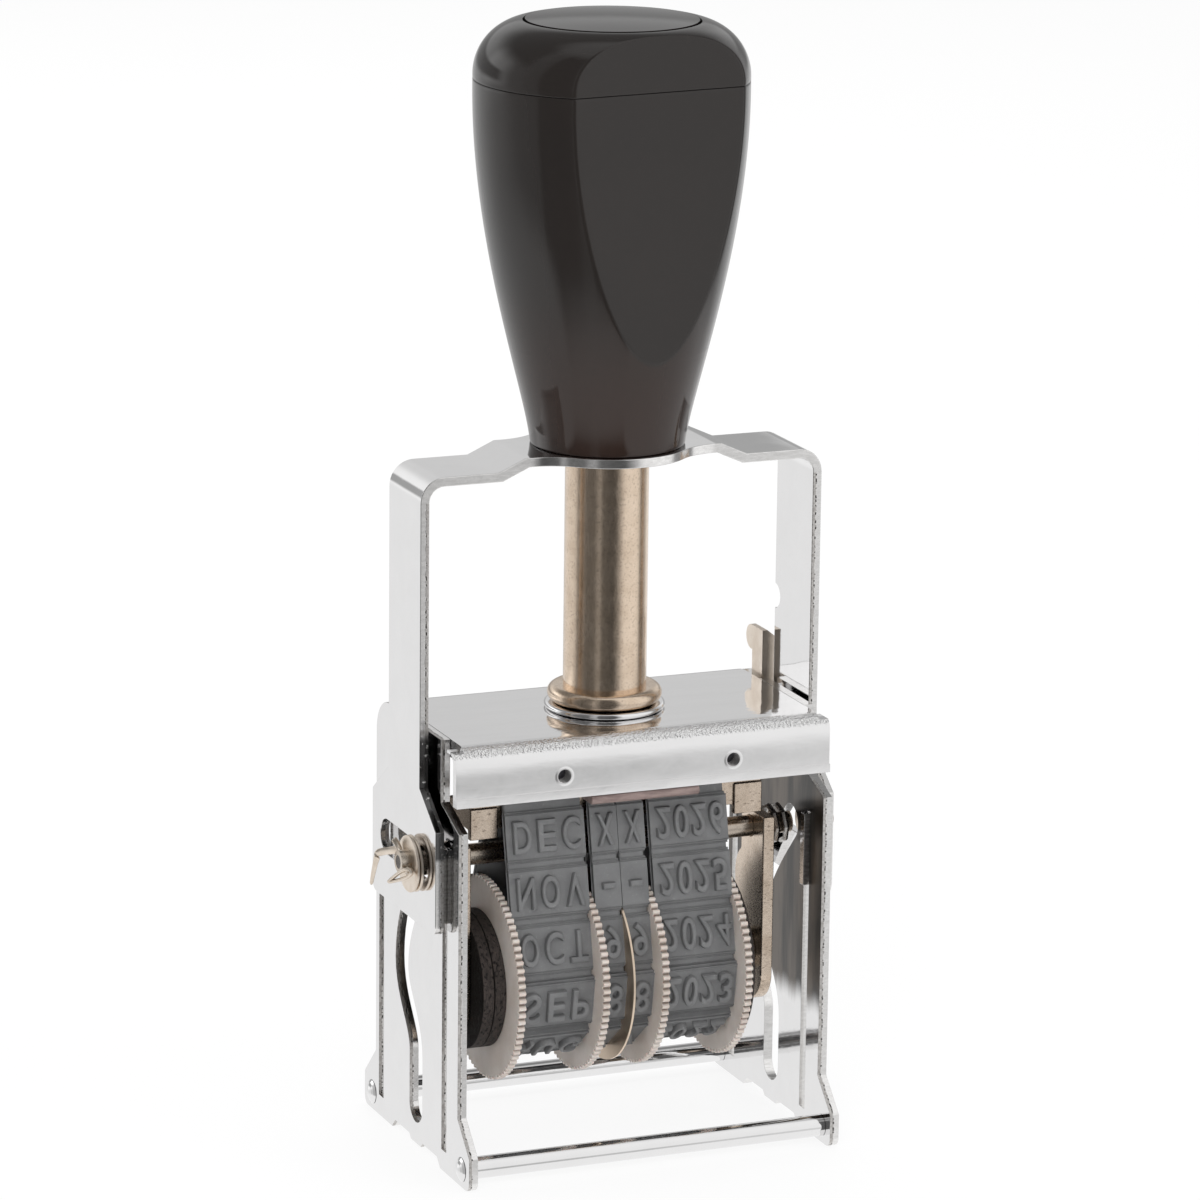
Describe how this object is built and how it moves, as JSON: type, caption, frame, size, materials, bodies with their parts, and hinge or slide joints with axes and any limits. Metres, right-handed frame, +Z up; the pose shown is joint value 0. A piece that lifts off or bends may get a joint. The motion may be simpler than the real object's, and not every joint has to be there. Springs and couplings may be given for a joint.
{
  "type": "self-inking date stamp",
  "caption": "Self-inking date stamp: chrome frame, sliding yoke and black handle; a push takes the toothed-wheel date block from the ink pad to the paper and turns it over on the way.",
  "frame": {"origin": "on the table, under the axis of the handle and spring tube", "axes": "+Z up along the handle, +X to the right seen from the front, front with the date wheels towards -Y"},
  "size_m": [0.0672, 0.043, 0.1639],
  "materials": {
    "chrome": "bright chrome plate on pressed steel",
    "nickel": "satin warm nickel plate",
    "spring_steel": "drawn spring wire",
    "handle_plastic": "black gloss moulding",
    "tray_plastic": "rosy brown moulding",
    "felt": "felt soaked with dark ink",
    "band_rubber": "blue-grey moulded rubber",
    "wheel_nylon": "ivory nylon with fine teeth",
    "fibre": "dark fibre washer",
    "brass": "thin brass shim"
  },
  "bodies": {
    "frame": {"left_side_plate": "chrome", "right_side_plate": "chrome", "top_channel": "chrome", "front_tie_bar": "chrome", "rear_tie_bar": "chrome", "pad_tray": "tray_plastic", "ink_pad": "felt", "spring_tube": "nickel", "tube_washer": "chrome", "latch_pin": "nickel", "return_spring": "spring_steel"},
    "latch": {"lock_latch": "nickel"},
    "press": {"strap_yoke": "chrome", "handle_body": "handle_plastic", "handle_cap": "handle_plastic", "handle_top_disc": "handle_plastic", "handle_screws": "nickel"},
    "axle": {"axle_ends": "nickel", "axle_washers": "nickel", "cotter_pin": "nickel"},
    "date_block": {"block_axle": "nickel", "left_cheek": "nickel", "right_cheek": "nickel", "platen_bridge": "nickel", "wheel_shaft": "nickel", "left_friction_discs": "fibre", "right_friction_disc": "fibre", "divider_disc": "brass", "torsion_spring": "spring_steel", "month_band": "band_rubber", "tens_band": "band_rubber", "units_band": "band_rubber", "year_band": "band_rubber"},
    "month_setter": {"month_wheel": "wheel_nylon"},
    "tens_setter": {"tens_wheel": "wheel_nylon"},
    "units_setter": {"units_wheel": "wheel_nylon"},
    "year_setter": {"year_wheel": "wheel_nylon"}
  },
  "joints": [
    {"name": "press", "type": "slide", "parent": "frame", "child": "press", "axis": [0, 0, -1], "range_m": [0, 0.0338], "stiffness_N_per_m": 300, "springref_m": -0.02, "deforming": ["return_spring"]},
    {"name": "axle_slide", "type": "slide", "parent": "press", "child": "axle", "axis": [0, 1, 0], "range_m": [0, 0.0055]},
    {"name": "block_turn", "type": "hinge", "parent": "axle", "child": "date_block", "pos_m": [0, -0.0055, 0.0451], "axis": [-1, 0, 0], "range_deg": [0, 180]},
    {"name": "latch_tilt", "type": "hinge", "parent": "frame", "child": "latch", "pos_m": [0.026, 0.01, 0.0585], "axis": [1, 0, 0], "range_deg": [-12, 3.5]},
    {"name": "month_set", "type": "hinge", "parent": "date_block", "child": "month_setter", "pos_m": [-0.02, -0.0055, 0.0266], "axis": [1, 0, 0], "continuous": true},
    {"name": "tens_set", "type": "hinge", "parent": "date_block", "child": "tens_setter", "pos_m": [-0.007, -0.0055, 0.0266], "axis": [1, 0, 0], "continuous": true},
    {"name": "units_set", "type": "hinge", "parent": "date_block", "child": "units_setter", "pos_m": [0.0018, -0.0055, 0.0266], "axis": [1, 0, 0], "continuous": true},
    {"name": "year_set", "type": "hinge", "parent": "date_block", "child": "year_setter", "pos_m": [0.014, -0.0055, 0.0266], "axis": [1, 0, 0], "continuous": true}
  ],
  "couplings": [
    {"joint": "axle_slide", "follows": "press", "ratio": 0.16272},
    {"joint": "block_turn", "follows": "press", "rad_per_m": 92.94}
  ]
}
